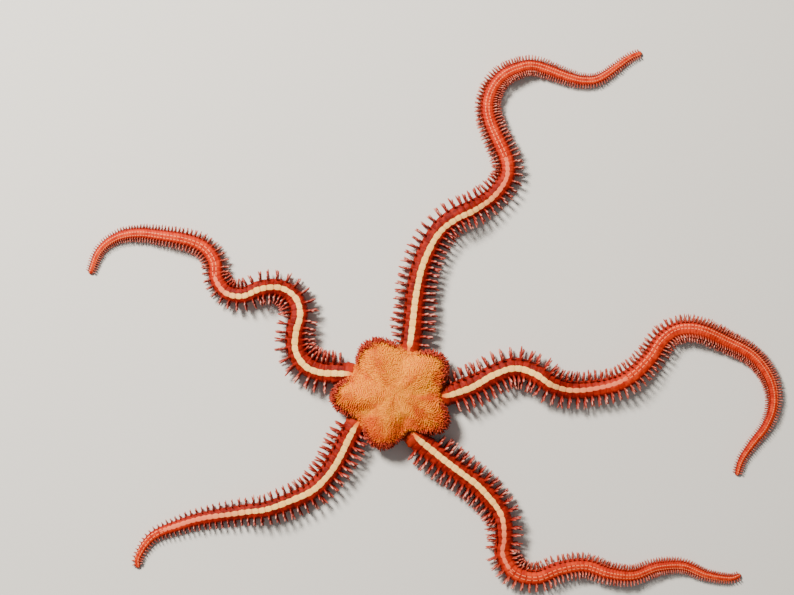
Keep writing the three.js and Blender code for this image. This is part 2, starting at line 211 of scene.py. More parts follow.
def section(arm, s, part, turn):
    """A point of the skin at s mm, part of the way along its plate, turned from the back's middle.

    Its place across and up is given in mm, and then as shares of the half width and the height.
    """
    width = width_at(arm, s)
    ends = min(s, arm["length"] - s) / ROUND_TIP
    width *= math.sqrt(max(1 - max(1 - ends, 0) ** 2, 0))
    side, top = math.sin(turn), math.cos(turn)
    out = abs(side) ** SIDES_FULL
    in_joint = bump(min(part, 1 - part), 0, JOINT_WIDE)
    relief = 1 - JOINT_GROOVE * (GROOVE_ON_BACK + GROOVE_AT_SIDES * side ** 2) * in_joint
    relief += SPINE_RIDGE * side ** 2 * bump(part, RIDGE_AT, RIDGE_WIDE)
    relief += BACK_PLATE * max(top, 0) ** 3 * math.sin(math.pi * part) ** 0.5
    if top > 0:
        relief -= PLATE_SEAM * bump(out, SEAM_AT, SEAM_WIDE)
        up = 0.5 + 0.5 * top ** BACK_FULL * relief
    else:
        up = 0.5 - 0.5 * min(FLAT_BELLY * (-top) ** BACK_FULL, 1 - BELLY_GROOVE * in_joint)
    across = math.copysign(out, side) * relief
    return across * width / 2, up * width * height_share(arm, s), across, up


def past_fade(arm, s):
    """How far s mm is through the stretch where the band fades, 0 at its start and 1 at its end."""
    start, end = arm["fade"]
    return (s - start) / (end - start)


def shown(name, mesh):
    mesh.polygons.foreach_set("use_smooth", [True] * len(mesh.polygons))
    piece = bpy.data.objects.new(name, mesh)
    bpy.context.collection.objects.link(piece)
    return piece


def finished(bm, name):
    bmesh.ops.recalc_face_normals(bm, faces=bm.faces)
    mesh = bpy.data.meshes.new(name)
    bm.to_mesh(mesh)
    bm.free()
    return shown(name, mesh)


def arm_skin(name, arm):
    joints = arm["joints"]
    rings = []
    for k, (start, end) in enumerate(zip(joints, joints[1:])):
        steps = SHORT_RING_STEPS if end - start < SHORT_PLATE else RING_STEPS
        rings += [(start + part * (end - start), k, part) for part in steps]
    rings.append((joints[-1], len(joints) - 1, 0.0))
    frames = [frame_at(arm, s) for s, _, _ in rings]
    bm = bmesh.new()
    layers = {key: bm.verts.layers.float.new(key)
              for key in ("plate", "across", "aside", "up", "past", "emerge")}
    bmesh.ops.create_grid(bm, x_segments=len(rings) - 1, y_segments=AROUND, size=1)
    for v in bm.verts:
        i = round((v.co.x + 1) / 2 * (len(rings) - 1))
        j = round((v.co.y + 1) / 2 * AROUND)
        s, k, part = rings[i]
        middle, _, right = frames[i]
        out, height, across, up = section(arm, s, part, (j / AROUND - 0.5) * 2 * math.pi)
        v.co = middle + right * out * MM + Vector((0, 0, height * MM))
        v[layers["plate"]] = k + part
        v[layers["across"]] = across
        v[layers["aside"]] = out - np.interp(s, *zip(*arm["band"]))
        v[layers["up"]] = up
        v[layers["past"]] = past_fade(arm, s)
        v[layers["emerge"]] = smooth(s, arm["root"] + COMES_OUT[0], arm["root"] + COMES_OUT[1])
    bmesh.ops.remove_doubles(bm, verts=bm.verts, dist=WELD)
    return finished(bm, name)


def colour(hexes):
    parts = [int(hexes[i:i + 2], 16) / 255 for i in (1, 3, 5)]
    return [c / 12.92 if c <= 0.04045 else ((c + 0.055) / 1.055) ** 2.4 for c in parts] + [1.0]


def add(tree, kind, inputs=(), output=0, **settings):
    """Adds a node and returns one output. Its inputs are links, numbers or hex colours."""
    made = tree.nodes.new("ShaderNode" + kind)
    for setting, value in settings.items():
        setattr(made, setting, value)
    for socket, value in (inputs.items() if isinstance(inputs, dict) else enumerate(inputs)):
        if isinstance(value, bpy.types.NodeSocket):
            tree.links.new(value, made.inputs[socket])
        else:
            made.inputs[socket].default_value = colour(value) if isinstance(value, str) else value
    return made.outputs[output]


EASED = dict(interpolation_type="SMOOTHSTEP")


def painted(tree, ground, *coats):
    """Lays coats of colour on the ground, each a source, the source's values where the coat is
    absent and where it is full, its strength there and its colour."""
    for source, low, high, strength, shade in coats:
        share = add(tree, "MapRange", [source, low, high, 0.0, strength], **EASED)
        ground = add(tree, "Mix", {0: share, 6: ground, 7: shade}, 2, data_type="RGBA")
    return ground


def new_material(name, reads, **shader):
    """A material, its nodes, its shader, which takes the rest, and the attributes that it reads."""
    material = bpy.data.materials.new(name)
    material.use_nodes = True
    tree = material.node_tree
    surface = tree.nodes["Principled BSDF"]
    for key, value in shader.items():
        surface.inputs[key.replace("_", " ")].default_value = value
    read = [add(tree, "Attribute", output="Fac", attribute_name=key) for key in reads]
    return material, tree, surface, read


BAND_HALF = 0.52  # mm, half the width of the pale band
LINE_AT = 0.3  # mm from the band's middle, of the two fine pale lines along the outer arm
PLATE_LONG = 1.7  # half widths, the length of a belly plate
PORE_AT = (1.05, 0.46, 0)  # half widths along its plate and from the middle
BLOTCHES, GRAIN = 0.9, 0.2  # mm across


# Limy plates under wet red skin: satin, deep red on the flanks, with the pale yellow plates of the
# back in a beaded band, which narrows, turns pink and gives way to salmon between two fine lines
def plate_material():
    material, tree, surface, (plate, across, aside, up, past, emerge) = new_material(
        "skin_over_lime_plates", ("plate", "across", "aside", "up", "past", "emerge"),
        Roughness=0.55, Specular_IOR_Level=0.06)
    place = add(tree, "TexCoord", output="Object")
    blotch = add(tree, "TexNoise", {"Vector": place, "Scale": 1 / (BLOTCHES * MM)})
    fine = add(tree, "TexNoise", {"Vector": place, "Scale": 1 / (GRAIN * MM)})
    number = add(tree, "Math", [plate], operation="FLOOR")
    luck = add(tree, "TexWhiteNoise", {"W": number}, noise_dimensions="1D")
    out = add(tree, "Math", [across], operation="ABSOLUTE")
    off = add(tree, "Math", [aside], operation="ABSOLUTE")
    joint = add(tree, "Math", [plate, 0.5], operation="PINGPONG")
    # The beads of the band come in at its joints, after the first plates
    bead = add(tree, "Math", [add(tree, "MapRange", [joint, 0.24, 0.05], **EASED),
                              add(tree, "MapRange", [plate, 14, 26], **EASED)],
               operation="MULTIPLY")

    # The belly plates, with a pair of pores to each, through which the tube feet come
    part = add(tree, "Math", [plate], operation="FRACT")
    along = add(tree, "Math", [part, PLATE_LONG], operation="MULTIPLY")
    spot = add(tree, "CombineXYZ", [along, out])
    pore = add(tree, "VectorMath", [spot, PORE_AT], "Value", operation="DISTANCE")
    belly = painted(tree, "#D08858",
                    (joint, 0.13, 0.0, 0.7, "#8A3018"),
                    (pore, 0.22, 0.14, 1.0, "#F0C8A4"),
                    # Dark centre of each pore: painted shade inside the opening
                    (pore, 0.125, 0.09, 1.0, "#6E1A10"))
    flank = painted(tree, "#5C0D08",
                    (blotch, 0.35, 0.7, 1.0, "#901A0C"),
                    (fine, 0.5, 0.75, 0.3, "#AC2A14"),
                    (luck, 0.0, 1.0, 0.2, "#9C2008"),
                    (past, 0.1, 1.3, 0.8, "#A01C08"),
                    (joint, 0.11, 0.0, 0.3, "#3C0604"),
                    (emerge, 1.0, 0.0, 0.6, "#A82E0C"),
                    (up, 0.2, 0.05, 1.0, belly))
    cream = painted(tree, "#FFC060",
                    (fine, 0.4, 0.66, 1.0, "#FFD484"),
                    (luck, 0.5, 1.0, 0.4, "#FFB056"),
                    (joint, 0.07, 0.0, 0.5, "#C88440"),
                    (bead, 0.1, 1.0, 0.38, "#CC6438"),
                    (past, -0.25, 0.6, 1.0, "#E4704C"),
                    (emerge, 1.0, 0.0, 1.0, "#E06A1C"))
    salmon = painted(tree, "#A82008",
                     (blotch, 0.35, 0.65, 1.0, "#CC3A12"),
                     (joint, 0.1, 0.0, 0.2, "#74200F"))

    # Half the width of the band, in mm, is this and what joints, plates, grain and the fade change
    edge = BAND_HALF
    for change in ((plate, 14, 22, 0.0, -0.05),
                   (past, -0.2, 1.0, 0.0, -0.12),
                   (past, 0.85, 1.15, 0.0, -0.7),
                   (emerge, 0.0, 1.0, -0.3, 0.0),
                   (joint, 0.0, 0.45, -0.05, 0.03),
                   (bead, 0.0, 1.0, 0.0, -0.03),
                   (luck, 0.0, 1.0, -0.03, 0.03),
                   (fine, 0.3, 0.7, -0.03, 0.03)):
        edge = add(tree, "Math", [edge, add(tree, "MapRange", change, **EASED)], operation="ADD")
    beyond = add(tree, "Math", [off, edge], operation="SUBTRACT")
    to_line = add(tree, "Math", [off, LINE_AT], operation="SUBTRACT")
    from_line = add(tree, "Math", [to_line], operation="ABSOLUTE")

    # On the back: the salmon, the band, the two fine lines and the dark dots between their dashes
    on_back = add(tree, "MapRange", [up, 0.5, 0.6], **EASED)
    skin = flank
    for shade, strength, steps in (
            (salmon, 1.0, ((out, 0.85, 0.4), (past, 0.3, 1.1))),
            (cream, 1.0, ((beyond, 0.05, -0.05),)),
            ("#FF8C5C", 0.75, ((from_line, 0.11, 0.04), (past, 0.75, 1.1), (joint, 0.1, 0.18))),
            ("#701004", 0.7, ((from_line, 0.14, 0.06), (past, 0.75, 1.1), (joint, 0.14, 0.08)))):
        there = on_back
        for step in steps:
            there = add(tree, "Math", [there, add(tree, "MapRange", step, **EASED)],
                        operation="MULTIPLY")
        skin = painted(tree, skin, (there, 0.0, 1.0, strength, shade))
    tree.links.new(skin, surface.inputs["Base Color"])
    relief = add(tree, "Bump", {"Height": fine, "Strength": 0.5, "Distance": 0.05 * MM})
    tree.links.new(relief, surface.inputs["Normal"])
    return material


skin_over_plates = plate_material()
joint_draw = random.Random(5)
for name, arm in ARMS.items():
    follow(arm)
    arm["joints"] = joints_of(arm, joint_draw)
    skin = arm_skin(f"{name}_skin", arm)
    skin.data.materials.append(skin_over_plates)
    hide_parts(*[f"{name}_{i + 1}" for i in range(arm["lengths"])])
    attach(skin, "root")


# The arm spines. Blunt pegs of lime, six to each side plate, hinged on its ridge and fanned from
# the back down to the ground. They are red at the root and pinkish white at the tip, partly their
# own colour and partly painted highlight for their gloss, and no two lean quite alike.
SPINE_PROFILE = [(0.95, 0.0), (1.08, 0.34), (1.0, 0.7), (0.8, 0.9), (0.45, 0.985), (0.0, 1.0)]
SPINE_SIDES = 6
# From the back down: height on the side plate, degrees up and towards the arm's tip, and length
SPINE_ROWS = [(0.84, 50, 14, 0.8), (0.72, 35, 3, 0.95), (0.6, 21, 9, 1.05), (0.46, 9, -2, 1.08),
              (0.33, -4, 5, 1.0), (0.2, -14, -5, 0.75)]
SPINE_STRAY = 5  # degrees
SPINE_LENGTH, SPINE_RADIUS = 0.56, 0.064  # of the arm's width, near the disc
SPINE_THINS = 0.5  # how much faster spines shrink than the arm does
LEAST_SPINE, LEAST_RADIUS = 0.5, 0.065  # mm
LENGTH_LUCK, RADIUS_LUCK = 0.13, 0.12
SPINE_BENDS = 0.05  # of the length
SPINE_FLAT = 0.85  # how thick it is beside how broad
SHORT_FIRST = 0.55  # of the full length, for the first spines out from the disc
SPINES_GROW = (-0.1, 2.5)  # mm past the first ones, over which the spines reach their full length
SPINE_SUNK = 0.12  # of the arm's width
GROUND = 0.04  # mm that every tip stays above the ground
TIP_BLUNT = 0.7  # of the radius, how thick the tip is where it might touch the ground
PATCH = 0.003  # of the OFBake map, for each small piece
PATCH_FOOT = 0.4  # of the patch, which the root takes up
MAP_EDGE = 0.01  # of the map, free at each end
FIRST_ROW, NEXT_ROW = 0.08, 0.075  # of the map, from its middle line
SPINE_GRAIN = 0.12  # mm across


def peg_shape(profile, sides):
    """The vertices and faces of one peg, one unit long and one unit in radius."""
    bm = bmesh.new()
    verts = [bm.verts.new((r, 0, z)) for r, z in profile]
    edges = [bm.edges.new(pair) for pair in zip(verts, verts[1:])]
    bmesh.ops.spin(bm, geom=verts + edges, cent=(0, 0, 0), axis=(0, 0, 1), angle=2 * math.pi,
                   steps=sides, use_merge=True)
    bmesh.ops.remove_doubles(bm, verts=bm.verts, dist=1e-5)
    bmesh.ops.contextual_create(bm, geom=[e for e in bm.edges if e.is_boundary])
    bmesh.ops.recalc_face_normals(bm, faces=bm.faces)
    bm.verts.index_update()
    shape = np.array([v.co[:] for v in bm.verts]), [[v.index for v in f.verts] for f in bm.faces]
    bm.free()
    return shape


def coat(name, shape, pegs):
    """Joins pegs into one mesh. A peg is its root, direction, radius, length, map place and facts.

    Each takes its own small patch of the OFBake map, and each fact becomes an attribute.
    """
    points, faces = shape
    corners = np.concatenate([np.array(f) for f in faces])
    count, per = len(pegs), len(points)
    verts = np.empty((count, per, 3))
    patches = np.empty((count, per, 2))
    facts = {key: np.empty((count, per)) for key in pegs[0]["facts"]}
    for i, peg in enumerate(pegs):
        turned = np.array(Vector(peg["direction"]).to_track_quat("Z", "Y").to_matrix())
        size = np.array([peg["radius"] * peg.get("flat", 1), peg["radius"], peg["length"]])
        verts[i] = (points * size) @ turned.T
        verts[i] += np.outer(points[:, 2] ** 2, peg.get("bend", (0, 0, 0)))
        verts[i] += peg["root"]
        patches[i] = (np.array(peg["map"])
                      + PATCH / 2 * points[:, :2] * (PATCH_FOOT + (1 - PATCH_FOOT) * points[:, 2:]))
        for key, value in peg["facts"].items():
            facts[key][i] = value
    mesh = bpy.data.meshes.new(name)
    mesh.from_pydata(verts.reshape(-1, 3).tolist(), [],
                     [[k + i * per for k in f] for i in range(count) for f in faces])
    bake = mesh.uv_layers.new(name="OFBake")
    every = (corners[None, :] + per * np.arange(count)[:, None]).ravel()
    bake.data.foreach_set("uv", patches.reshape(-1, 2)[every].ravel())
    facts["tip"] = np.tile(points[:, 2], (count, 1))
    for key, values in facts.items():
        mesh.attributes.new(key, "FLOAT", "POINT").data.foreach_set("value", values.ravel())
    return shown(name, mesh)


def arm_spines(name, arm, draw):
    pegs = []
    joints = arm["joints"]
    for plate_from, plate_to in zip(joints[:-2], joints[1:]):
        s = plate_from + RIDGE_AT * (plate_to - plate_from)
        width = width_at(arm, s)
        height = width * height_share(arm, s)
        slender = width * (width / ARM_WIDTH) ** SPINE_THINS
        middle, along, right = frame_at(arm, s)
        for side, start in ((1, arm["spines_from"][0]), (-1, arm["spines_from"][1])):
            if s < start:
                continue
            grown = smooth(s, start + SPINES_GROW[0], start + SPINES_GROW[1])
            for row, (at, tilt, toward, share) in enumerate(SPINE_ROWS):
                radius = max(SPINE_RADIUS * slender, LEAST_RADIUS)
                radius *= 1 + RADIUS_LUCK * draw.uniform(-1, 1)
                length = max(SPINE_LENGTH * slender, LEAST_SPINE) * share
                length *= SHORT_FIRST + (1 - SHORT_FIRST) * grown
                length *= 1 + LENGTH_LUCK * draw.uniform(-1, 1)
                turn = math.acos(max(min(2 * at - 1, 1), -1))
                out = width / 2 * math.sin(turn) ** SIDES_FULL
                foot = max(at * height, radius + GROUND)
                rise = math.sin(math.radians(tilt + SPINE_STRAY * draw.uniform(-1, 1)))
                rise = max(rise, (radius * TIP_BLUNT + GROUND - foot) / length)
                lean = math.sin(math.radians(toward + SPINE_STRAY * draw.uniform(-1, 1)))
                level = math.sqrt(1 - rise * rise)
                direction = (right * side * level * math.sqrt(1 - lean * lean)
                             + along * lean * level)
                direction.z = rise
                sunk = SPINE_SUNK * width
                root = middle + (right * side * out + Vector((0, 0, foot))
                                 - direction * sunk) * MM
                bend = draw.uniform(-SPINE_BENDS, SPINE_BENDS) * length
                pegs.append(dict(
                    root=np.array(root), direction=direction, radius=radius * MM,
                    length=(length + sunk) * MM, flat=SPINE_FLAT, bend=np.array(along) * bend * MM,
                    map=(MAP_EDGE + (1 - 2 * MAP_EDGE) * s / arm["length"],
                         0.5 + side * (FIRST_ROW + NEXT_ROW * row)),
                    facts=dict(luck=draw.random(), past=past_fade(arm, s))))
    return coat(name, peg_shape(SPINE_PROFILE, SPINE_SIDES), pegs)


# Spine lime: smooth and a little glossy, deep red at the root, paler and pinker towards the
# tip, partly its own colour and partly painted highlight for its gloss
def spine_material():
    material, tree, surface, (tip, luck, past) = new_material(
        "spine_lime", ("tip", "luck", "past"), Roughness=0.35, Specular_IOR_Level=0.3)
    pale = add(tree, "Math", [tip, luck], operation="MULTIPLY")
    body = painted(tree, "#460805",
                   (tip, 0.12, 0.4, 1.0, "#84160E"),
                   (luck, 0.2, 1.0, 0.5, "#9E2A1C"),
                   (past, 0.2, 1.4, 0.45, "#C05C40"),
                   # Paler towards the tip: partly the spine's own colour, partly painted highlight
                   (tip, 0.55, 0.97, 0.8, "#BA5240"),
                   (pale, 0.45, 0.9, 0.8, "#E29C86"))
    place = add(tree, "TexCoord", output="Object")
    fine = add(tree, "TexNoise", {"Vector": place, "Scale": 1 / (SPINE_GRAIN * MM)})
    tree.links.new(body, surface.inputs["Base Color"])
    relief = add(tree, "Bump", {"Height": fine, "Strength": 0.4, "Distance": 0.02 * MM})
    tree.links.new(relief, surface.inputs["Normal"])
    return material


spine_lime = spine_material()
for i, (name, arm) in enumerate(ARMS.items()):
    spines = arm_spines(f"{name}_spines", arm, random.Random(301 + i))
    spines.data.materials.append(spine_lime)
    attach(spines, "root")


# The disc. A soft round body over the roots of the arms, swollen into a lobe between each two of
# them, with leathery skin over hidden plates. Below, it is flatter, opens round the jaws in a
# shallow pit, and is slit on both sides of each arm, where the animal breathes.
DISC_HEIGHT = 6.2  # mm
NOTCH_WAIST, LOBE_WAIST = 3.0, 2.4  # mm up, where the disc is broadest
DISC_CLEARANCE = 0.45
EDGE_ROUND, BACK_DOME, BELLY_DOME = 0.4, 0.75, 0.5  # a ball's are 0.5, 1, 1, and less is fuller
GROOVE = 0.65  # mm, of the valley that runs out along the back to each arm
GROOVE_OUT = 2.6  # more than 1 moves its deepest place outward
MOUTH_RADIUS = 4.35
MOUTH_DEPTH = 2.0
PIT_EDGE = (0.35, -0.1)  # mm past the mouth's radius, down which the skin falls into the pit
OUTLINE = [(71, 7.9), (118, 10.6), (153, 8.5), (186, 11.6), (216, 8.2), (253, 10.2), (291, 7.1),
           (327, 11.0), (358, 7.9), (395, 10.9), (431, 7.9)]  # degrees and mm, notch and lobe
PILE_DEPTH = 0.28  # mm from the skin to the tips of the close pile on the back
SWELLING, SWELLING_WIDE = 0.16, 1.7  # mm high and across
PUCKER, PUCKER_WIDE = 0.07, 0.6
PUCKER_SHIFT = Vector((7, 3, 1))  # so that puckers and swellings don't line up
WRINKLES_RISE = 3  # how fast both grow, in from the edge
SKIN_STEPS = (280, 120)  # round and from pole to pole
AT_POLE = 0.99999
SLIT_FROM_ARM = 0.32  # mm from the side of the arm
SLIT_REACH = (0.3, 3.7)  # mm along the arm's route
SLIT_CLOSES = 0.5  # mm at each end
SLIT_WIDTH, SLIT_DEPTH = 0.15, 0.5
TRACK_STEP = 8  # samples of an arm's route, close enough to find the nearest place


def outline_at(angle):
    """The disc's radius in mm, and how far towards the middle of a lobe it is, from 0 to 1."""
    degrees = math.degrees(angle) % 360
    if degrees < OUTLINE[0][0]:
        degrees += 360
    i = next(k for k in range(1, len(OUTLINE)) if degrees <= OUTLINE[k][0])
    (start, inner), (end, outer) = OUTLINE[i - 1], OUTLINE[i]
    blend = (1 - math.cos(math.pi * (degrees - start) / (end - start))) / 2
    return inner + (outer - inner) * blend, blend if i % 2 else 1 - blend


def disc_point(angle, pole):
    """A point of the skin under the pile, in mm; pole is 1 on top of the back, -1 at the mouth."""
    radius, lobe = outline_at(angle)
    out = max(1 - pole * pole, 0) ** EDGE_ROUND
    waist = NOTCH_WAIST + (LOBE_WAIST - NOTCH_WAIST) * lobe
    if pole > 0:
        valley = GROOVE * (1 - lobe) * math.sin(math.pi * out ** GROOVE_OUT)
        z = waist + (DISC_HEIGHT - waist) * pole ** BACK_DOME - valley
        z -= PILE_DEPTH * pole
    else:
        z = waist - (waist - DISC_CLEARANCE) * (-pole) ** BELLY_DOME
        pit = smooth(out * radius, MOUTH_RADIUS + PIT_EDGE[0], MOUTH_RADIUS + PIT_EDGE[1])
        z += pit * (MOUTH_DEPTH - DISC_CLEARANCE)
    reach = out * (radius - PILE_DEPTH)
    return Vector((reach * math.cos(angle), reach * math.sin(angle), z))


def wrinkle(p, pole):
    """Low, uneven swellings of the back over the hidden plates, in mm, which end at its edge."""
    swelling = SWELLING * noise.noise(p / SWELLING_WIDE)
    pucker = PUCKER * noise.noise(p / PUCKER_WIDE + PUCKER_SHIFT)
    return (swelling + pucker) * min(pole * WRINKLES_RISE, 1)


def nearest_arm(p):
    """How far a place under the disc is from the side of the nearest arm, and how far along it."""
    found = []
    for arm in ARMS.values():
        track = arm["track"][::TRACK_STEP]
        away = np.hypot(track[:, 0] - p.x, track[:, 1] - p.y)
        nearest = int(np.argmin(away))
        along = float(arm["distance"][::TRACK_STEP][nearest])
        found.append((float(away[nearest]) - width_at(arm, along) / 2, along))
    return min(found)


def slit_at(p):
    away, along = nearest_arm(p)
    start, end = SLIT_REACH
    ends = smooth(along, start, start + SLIT_CLOSES) * smooth(along, end, end - SLIT_CLOSES)
    return bump(away, SLIT_FROM_ARM, SLIT_WIDTH) * ends


BELLY_RED, BELLY_GLOW = 0.35, 0.3  # how red and how yellow the belly is
BELLY_MARGIN = (0.75, 0.97)  # of the radius, over which it turns red
BACK_MARGIN = (0.85, 0.93)
LOBE_MARGIN = 0.04  # of the radius, how much sooner it starts on a lobe
RAGGED, RAGGED_WIDE = 0.06, 0.7  # of the radius, and mm
NOTCH_RED = 0.15  # how red the margin is at an arm
LOBE_REDDENS = (0.05, 0.4)  # of the way from a notch to a lobe
YELLOW = 0.6  # how yellow the back is on the whole
YELLOW_MIDDLE, MIDDLE_WIDE = 0.35, 0.4  # how much more in the middle, and of the radius
# Less yellow at the steep edge and more on the lamp's side: partly painted shade and light
ORANGE_EDGE, EDGE_FROM = 0.2, (0.6, 0.9)  # how much less at the edge, and of the radius
YELLOW_LIT_SIDE, LIT_SIDE_AT = 0.6, math.radians(100)  # how much more on the side towards the lamp
STREAKS, STREAK_COUNT, STREAK_CHANGE = 0.7, 4, 2.5  # how much, and how often round and outward
PATCHES, PATCH_WIDE = 0.6, 2.2  # how much, and mm
SPECKS, SPECK_WIDE = 0.25, 0.8
SKIN_PORE = 0.3  # mm across


def lobe_red(lobe):
    return NOTCH_RED + (1 - NOTCH_RED) * smooth(lobe, *LOBE_REDDENS)


def disc_marks(p, pole):
    """How near the red margin a place on the disc is, and how yellow it glows, from 0 to 1."""
    angle = math.atan2(p.y, p.x)
    radius, lobe = outline_at(angle)
    out = math.hypot(p.x, p.y) / radius
    if pole < 0:
        return BELLY_RED + (1 - BELLY_RED) * smooth(out, *BELLY_MARGIN), BELLY_GLOW
    ragged = RAGGED * noise.noise(p / RAGGED_WIDE)
    rim = smooth(out + ragged, BACK_MARGIN[0] - LOBE_MARGIN * lobe, BACK_MARGIN[1])
    ray = Vector((math.cos(angle) * STREAK_COUNT, math.sin(angle) * STREAK_COUNT,
                  out * STREAK_CHANGE))
    glow = YELLOW + YELLOW_MIDDLE * bump(out, 0, MIDDLE_WIDE)
    # Less yellow towards the steep edge and more on the side towards the lamp: partly the disc's
    # own colour, partly painted shade and light
    glow -= ORANGE_EDGE * smooth(out, *EDGE_FROM)
    glow += STREAKS * noise.noise(ray)
    glow += PATCHES * noise.noise(p / PATCH_WIDE) + SPECKS * noise.noise(p / SPECK_WIDE)
    glow += YELLOW_LIT_SIDE * out * math.cos(angle - LIT_SIDE_AT)
    return rim * lobe_red(lobe), min(max(glow, 0), 1)


def disc_skin():
    bm = bmesh.new()
    layers = {key: bm.verts.layers.float.new(key) for key in ("rim", "glow", "slit")}
    bmesh.ops.create_uvsphere(bm, u_segments=SKIN_STEPS[0], v_segments=SKIN_STEPS[1], radius=1)
    for v in bm.verts:
        pole = max(min(v.co.z, 1), -1)
        angle = math.atan2(v.co.y, v.co.x) if abs(pole) < AT_POLE else 0.0
        p = disc_point(angle, pole)
        if pole > 0:
            p.z += wrinkle(p, pole)
        elif p.length > MOUTH_RADIUS:
            v[layers["slit"]] = slit_at(p)
            p.z += SLIT_DEPTH * v[layers["slit"]]
        v[layers["rim"]], v[layers["glow"]] = disc_marks(p, pole)
        v.co = mouth + p * MM
    return finished(bm, "disc_skin")


# Wet skin between the granules: darker than their tips, as painted shade deep in the pile,
# orange in the middle, red at the margin, and very dark in the slits as painted shade
def disc_material():
    material, tree, surface, (rim, glow, slit) = new_material(
        "disc_skin_orange", ("rim", "glow", "slit"), Roughness=0.6, Specular_IOR_Level=0.15)
    place = add(tree, "TexCoord", output="Object")
    pore = add(tree, "TexNoise", {"Vector": place, "Scale": 1 / (SKIN_PORE * MM)})
    # Darker than the granules' tips: painted shade deep down in the pile
    skin = painted(tree, "#C44400",
                   (glow, 0.0, 1.0, 1.0, "#EC8000"),
                   (pore, 0.35, 0.65, 0.4, "#A83400"),
                   (rim, 0.0, 1.0, 1.0, "#6E0E06"),
                   # Very dark in the breathing slits: painted shade inside their openings
                   (slit, 0.3, 0.8, 1.0, "#4A0C06"))
    tree.links.new(skin, surface.inputs["Base Color"])
    relief = add(tree, "Bump", {"Height": pore, "Strength": 0.7, "Distance": 0.08 * MM})
    tree.links.new(relief, surface.inputs["Normal"])
    return material


disc = disc_skin()
disc.data.materials.append(disc_material())
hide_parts("disc")
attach(disc, "root")


# The pile on the disc. Thousands of short, blunt lime granules and spinelets stand close together
# all over it and give it its velvet look: low in the middle of the back, longer and red round the
# margin, in a loose fringe at its edge, and sparser on the lobes below.
GRANULE_PROFILE = [(0.8, 0.0), (1.0, 0.45), (0.72, 0.88), (0.0, 1.0)]
GRANULE_SIDES = 6
GOLDEN = math.pi * (3 - math.sqrt(5))
GRANULE_SUNK = 0.05  # mm
MAP_RADIUS = 0.235  # of the OFBake map, for the back and for the belly, laid flat side by side
BACK_MAP, BELLY_MAP = (0.25, 0.5), (0.75, 0.5)
# How many, radius and length in mm and how much each varies, and how much longer at the margin
BACK_COUNT, BACK_RADIUS, BACK_LENGTH, BACK_LONGER = 5700, (0.118, 0.02), (0.36, 0.08), 0.3
BACK_OUTWARD, BACK_SCATTER = (0.25, 0.5), 0.2  # how they lean out, more at the margin, and stray
BACK_ENDS, BACK_TURN = 0.999, 0.01  # of the way out to the waist, and radians of stray
FRINGE_COUNT, FRINGE_RADIUS = 950, (0.075, 0.012)
FRINGE_LENGTH, FRINGE_LONGER, FRINGE_LUCK = 0.55, 0.3, (-0.12, 0.16)
FRINGE_ZONE = (-0.3, 0.42)  # of the way from the waist to the mouth and to the top of the back
FRINGE_DROOP, FRINGE_SCATTER, FRINGE_GLOW = 0.5, 0.32, 0.35
FRINGE_OUT, FRINGE_BAND = 1.03, 0.04  # of MAP_RADIUS
FRINGE_SHIFT = 0.4  # of the way to the next spinelet
BELLY_COUNT, BELLY_RADIUS, BELLY_LENGTH, BELLY_LONGER = 2600, (0.09, 0.02), (0.22, 0.05), 0.16
BELLY_SCATTER, BELLY_ENDS, BELLY_TURN = 0.25, 0.99, 0.02
GRIT = 0.06  # mm across
SHIELD_OUT = 6.3  # mm from the middle of the mouth to the middle of each oral shield
CLEAR_OF_SHIELD, CLEAR_OF_ARM, CLEAR_OF_MOUTH, CLEAR_OF_SLIT = 1.75, 0.6, 0.7, 0.1


def pole_at(out):
    """The pole of the skin at this share of the disc's radius, out from the middle."""
    return math.sqrt(max(1 - out ** (1 / EDGE_ROUND), 0))


def skin_frame(angle, pole):
    """A place on the disc's skin and its outward normal, in mm."""
    step = 0.01
    here = disc_point(angle, pole)
    spin = disc_point(angle + step, pole) - disc_point(angle - step, pole)
    fall = disc_point(angle, max(pole - step, -1)) - disc_point(angle, min(pole + step, 1))
    normal = spin.cross(fall)
    if normal.length < 1e-9:
        return here, Vector((0, 0, 1 if pole > 0 else -1))
    return here, -normal.normalized()


def about(draw, middle, spread):
    return middle + draw.uniform(-spread, spread)


def scatter(draw, size):
    return Vector([draw.uniform(-size, size) for _ in range(3)])


def on_map(centre, out, angle):
    return (centre[0] + MAP_RADIUS * out * math.cos(angle),
            centre[1] + MAP_RADIUS * out * math.sin(angle))


def spinelet(p, normal, direction, radius, length, place, **facts):
    """One granule of the pile; place is where its root lies on the OFBake map."""
    return dict(root=np.array(mouth + (p - normal * GRANULE_SUNK) * MM),
                direction=direction.normalized(), radius=radius * MM, length=length * MM,
                map=place, facts=facts)


def back_granules(draw):
    pegs = []
    for i in range(BACK_COUNT):
        out = min(math.sqrt((i + 0.5) / BACK_COUNT), BACK_ENDS)
        angle = about(draw, i * GOLDEN, BACK_TURN)
        pole = pole_at(out)
        p, normal = skin_frame(angle, pole)
        p.z += wrinkle(p, pole)
        rim, glow = disc_marks(p, pole)
        outward = Vector((math.cos(angle), math.sin(angle), 0))
        lean = outward * (BACK_OUTWARD[0] + BACK_OUTWARD[1] * rim)
        pegs.append(spinelet(
            p, normal, normal + lean + scatter(draw, BACK_SCATTER), about(draw, *BACK_RADIUS),
            about(draw, BACK_LENGTH[0] + BACK_LONGER * rim, BACK_LENGTH[1]),
            on_map(BACK_MAP, out, angle), luck=draw.random(), rim=rim, glow=glow))
    return coat("disc_back_granules", peg_shape(GRANULE_PROFILE, GRANULE_SIDES), pegs)


